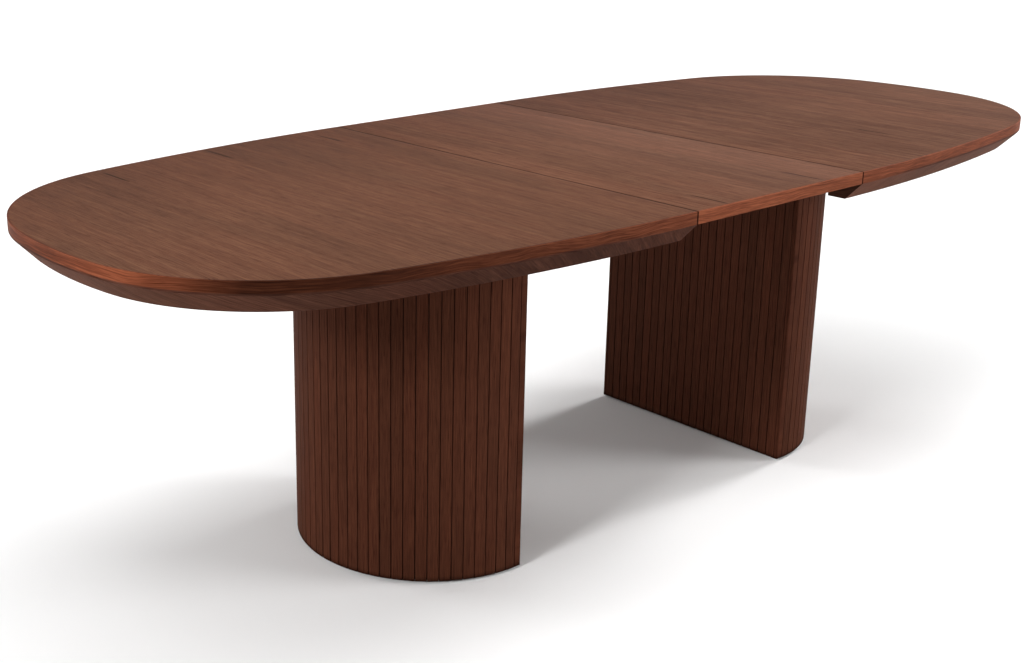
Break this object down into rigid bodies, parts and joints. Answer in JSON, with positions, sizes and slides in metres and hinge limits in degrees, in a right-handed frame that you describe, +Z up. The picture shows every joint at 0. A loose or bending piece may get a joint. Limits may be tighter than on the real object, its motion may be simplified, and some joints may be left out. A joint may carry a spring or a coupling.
{
  "type": "oval extending dining table",
  "caption": "Oval dining table with a lift-in centre leaf, bevelled rim, end halves sliding in step on guide rails, and half-round slatted pedestals.",
  "frame": {"origin": "on the floor under the middle of the table", "axes": "+X along the table's length, +Y across it to the side away from the picture's camera, +Z up"},
  "size_m": [2.5006, 1.05, 0.75],
  "materials": {
    "top_veneer": "satin stained walnut veneer",
    "edge_lipping": "satin stained walnut",
    "bevel_veneer": "satin stained walnut veneer",
    "slat_veneer": "satin stained walnut",
    "black_board": "black stained board",
    "plywood": "raw birch plywood",
    "felt_glide": "dense felt",
    "rail_aluminium": "anodised extrusion",
    "runner_nylon": "black nylon",
    "zinc_steel": "zinc plated",
    "beech": "planed beech"
  },
  "bodies": {
    "base": {"left_curved_wall": "black_board", "left_flat_board": "black_board", "left_top_plate": "plywood", "left_shelf": "plywood", "left_base_plate": "plywood", "left_curved_slats": "slat_veneer", "left_flat_slats": "slat_veneer", "left_corner_slats": "slat_veneer", "left_glides": "felt_glide", "left_rail_tie": "zinc_steel", "right_curved_wall": "black_board", "right_flat_board": "black_board", "right_top_plate": "plywood", "right_shelf": "plywood", "right_base_plate": "plywood", "right_curved_slats": "slat_veneer", "right_flat_slats": "slat_veneer", "right_corner_slats": "slat_veneer", "right_glides": "felt_glide", "right_rail_tie": "zinc_steel", "front_guide_rail": "rail_aluminium", "rear_guide_rail": "rail_aluminium", "pinion_bridge": "zinc_steel", "pinion_axle": "zinc_steel", "axle_nut": "zinc_steel", "axle_clip": "zinc_steel", "rack_guides": "runner_nylon", "rail_bolts": "zinc_steel", "tie_screws": "zinc_steel"},
    "pinion": {"sync_pinion": "runner_nylon"},
    "left_end": {"left_panel": "top_veneer", "left_lipping": "edge_lipping", "left_bevel_rim": "bevel_veneer", "left_front_runner": "runner_nylon", "left_rear_runner": "runner_nylon", "left_rack": "runner_nylon", "left_rack_bracket": "beech", "left_runner_screws": "zinc_steel", "left_rack_screws": "zinc_steel", "left_button_pivots": "zinc_steel"},
    "right_end": {"right_panel": "top_veneer", "right_lipping": "edge_lipping", "right_bevel_rim": "bevel_veneer", "right_front_runner": "runner_nylon", "right_rear_runner": "runner_nylon", "right_rack": "runner_nylon", "right_rack_bracket": "beech", "right_runner_screws": "zinc_steel", "right_rack_screws": "zinc_steel", "right_button_pivots": "zinc_steel"},
    "leaf": {"leaf_panel": "top_veneer", "leaf_lippings": "edge_lipping", "leaf_battens": "beech", "leaf_batten_screws": "zinc_steel", "leaf_rest_pads": "felt_glide"},
    "left_front_turn_button": {"left_front_button": "beech"},
    "left_rear_turn_button": {"left_rear_button": "beech"},
    "right_front_turn_button": {"right_front_button": "beech"},
    "right_rear_turn_button": {"right_rear_button": "beech"}
  },
  "joints": [
    {"name": "left_end_slide", "type": "slide", "parent": "base", "child": "left_end", "axis": [-1, 0, 0], "range_m": [0, 0.08]},
    {"name": "right_end_slide", "type": "slide", "parent": "base", "child": "right_end", "axis": [1, 0, 0], "range_m": [0, 0.08]},
    {"name": "pinion_spin", "type": "hinge", "parent": "base", "child": "pinion", "pos_m": [0, 0, 0.705], "axis": [0, 0, -1], "range_deg": [0, 230]},
    {"name": "leaf_lift", "type": "slide", "parent": "base", "child": "leaf", "axis": [0, 0, 1], "range_m": [0, 0.2]},
    {"name": "left_front_button_turn", "type": "hinge", "parent": "left_end", "child": "left_front_turn_button", "pos_m": [-0.2953, -0.34, 0.7226], "axis": [0, 0, 1], "range_deg": [0, 90]},
    {"name": "left_rear_button_turn", "type": "hinge", "parent": "left_end", "child": "left_rear_turn_button", "pos_m": [-0.2953, 0.34, 0.7226], "axis": [0, 0, -1], "range_deg": [0, 90]},
    {"name": "right_front_button_turn", "type": "hinge", "parent": "right_end", "child": "right_front_turn_button", "pos_m": [0.2953, -0.34, 0.7226], "axis": [0, 0, -1], "range_deg": [0, 90]},
    {"name": "right_rear_button_turn", "type": "hinge", "parent": "right_end", "child": "right_rear_turn_button", "pos_m": [0.2953, 0.34, 0.7226], "axis": [0, 0, 1], "range_deg": [0, 90]}
  ],
  "couplings": [
    {"joint": "right_end_slide", "follows": "left_end_slide", "ratio": 1},
    {"joint": "pinion_spin", "follows": "left_end_slide", "rad_per_m": 50}
  ]
}
